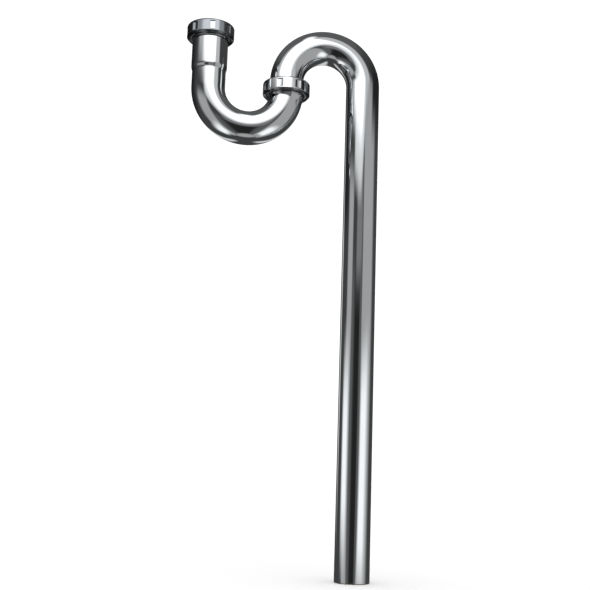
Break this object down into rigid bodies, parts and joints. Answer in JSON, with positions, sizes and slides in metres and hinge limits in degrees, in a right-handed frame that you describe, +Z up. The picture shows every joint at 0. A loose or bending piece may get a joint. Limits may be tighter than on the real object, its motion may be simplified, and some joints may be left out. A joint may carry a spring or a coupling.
{
  "type": "p trap",
  "caption": "Chromed tubular sink trap: a J-bend on a slip joint, a return bend over it, and a long straight tail down to the floor.",
  "frame": {"origin": "centre of the long tail's open lower end", "axes": "+Z up along the tail, the inlet on the -X side, and both bends in the XZ plane"},
  "size_m": [0.2237, 0.0536, 0.6155],
  "materials": {
    "tube_chrome": "bright chrome plate on thin drawn brass tube",
    "nut_chrome": "chrome plate on a cast nut, slightly softer than the tube",
    "ferrule_chrome": "thinner chrome plate over a machined brass thread, plated with the J-bend it is brazed to",
    "washer_rubber": "black moulded rubber, matt",
    "ring_nylon": "thin natural nylon ring"
  },
  "bodies": {
    "outlet": {"outlet_tube": "tube_chrome"},
    "union_seal": {"union_rubber_washer": "washer_rubber"},
    "trap": {"j_bend": "tube_chrome", "inlet_thread_ferrule": "ferrule_chrome", "union_thread_ferrule": "ferrule_chrome"},
    "union_ring": {"union_friction_ring": "ring_nylon"},
    "union_nut": {"union_slip_nut": "nut_chrome"},
    "inlet_seal": {"inlet_rubber_washer": "washer_rubber", "inlet_friction_ring": "ring_nylon"},
    "inlet_nut": {"inlet_slip_nut": "nut_chrome"}
  },
  "joints": [
    {"name": "slip_adjust", "type": "slide", "parent": "outlet", "child": "union_seal", "axis": [0, 0, -1], "range_m": [0, 0.006]},
    {"name": "trap_swivel", "type": "hinge", "parent": "union_seal", "child": "trap", "pos_m": [-0.0889, 0, 0.5425], "axis": [0, 0, 1], "range_deg": [-145, 145]},
    {"name": "union_nut_travel", "type": "slide", "parent": "trap", "child": "union_ring", "axis": [0, 0, 1], "range_m": [0, 0.00775]},
    {"name": "union_nut_turn", "type": "hinge", "parent": "union_ring", "child": "union_nut", "pos_m": [-0.0889, 0, 0.5414], "axis": [0, 0, 1], "range_deg": [0, 1260]},
    {"name": "inlet_nut_travel", "type": "slide", "parent": "trap", "child": "inlet_seal", "axis": [0, 0, 1], "range_m": [0, 0.00775]},
    {"name": "inlet_nut_turn", "type": "hinge", "parent": "inlet_seal", "child": "inlet_nut", "pos_m": [-0.1778, 0, 0.601], "axis": [0, 0, 1], "range_deg": [0, 1260]}
  ],
  "couplings": [
    {"joint": "union_nut_travel", "follows": "union_nut_turn", "m_per_rad": 0.00035153},
    {"joint": "inlet_nut_travel", "follows": "inlet_nut_turn", "m_per_rad": 0.00035153}
  ]
}
